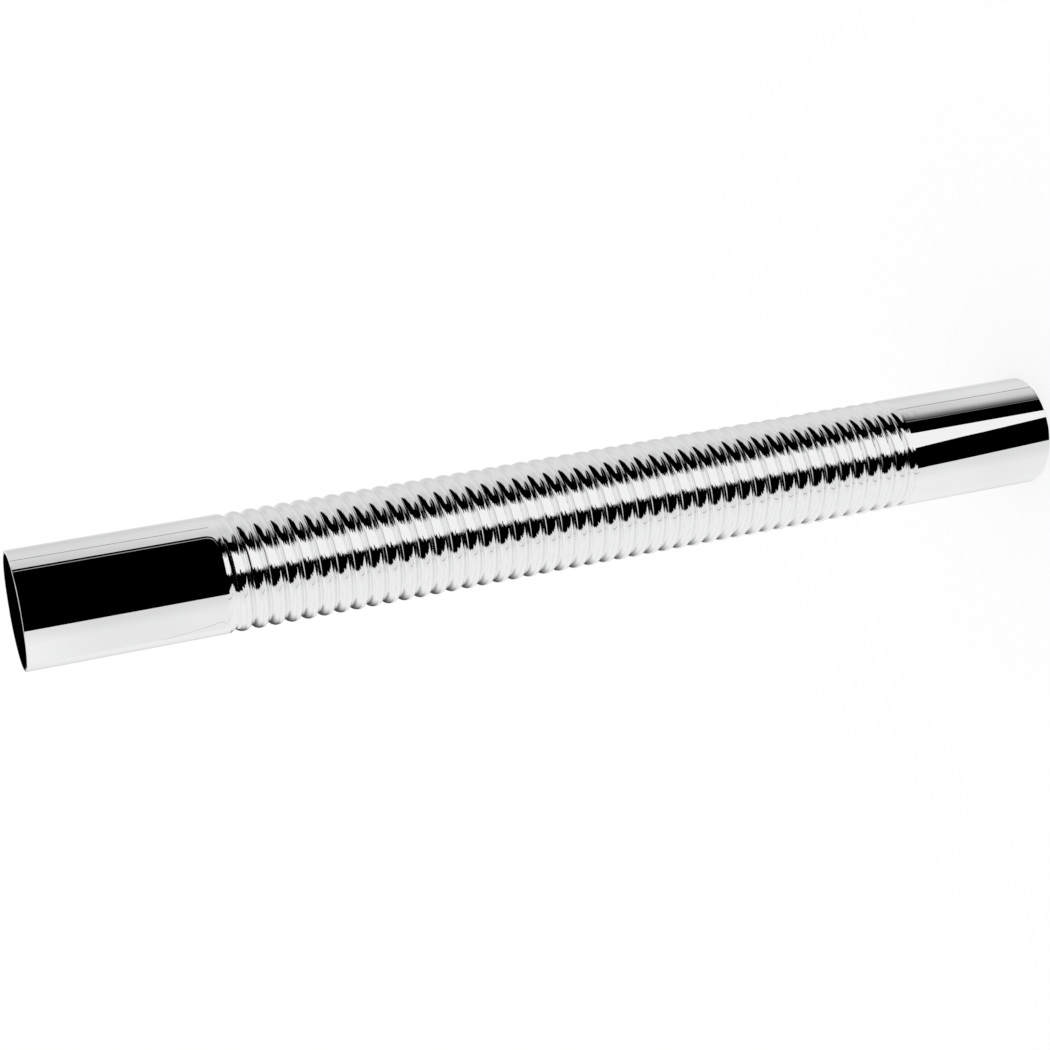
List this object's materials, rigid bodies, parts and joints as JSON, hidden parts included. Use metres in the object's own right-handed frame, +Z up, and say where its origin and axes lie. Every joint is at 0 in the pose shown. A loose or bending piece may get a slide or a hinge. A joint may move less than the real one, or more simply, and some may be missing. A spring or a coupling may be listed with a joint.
{
  "type": "flexible wall waste pipe",
  "caption": "Straight chrome-plated waste pipe with plain ends and a helically corrugated middle that bends by hand, joining a basin trap to a wall outlet.",
  "frame": {"origin": "centre of the cut rim of the short cuff, on the surface that the pipe stands on", "axes": "+Z up the pipe's axis to the rim of the long cuff; the groove leaves and joins the cuffs at +X"},
  "size_m": [0.0322, 0.0322, 0.303],
  "materials": {
    "chrome": "bright chrome plate on thin brass tube"
  },
  "bodies": {
    "root": {"flexible_pipe": "chrome"}
  },
  "joints": []
}
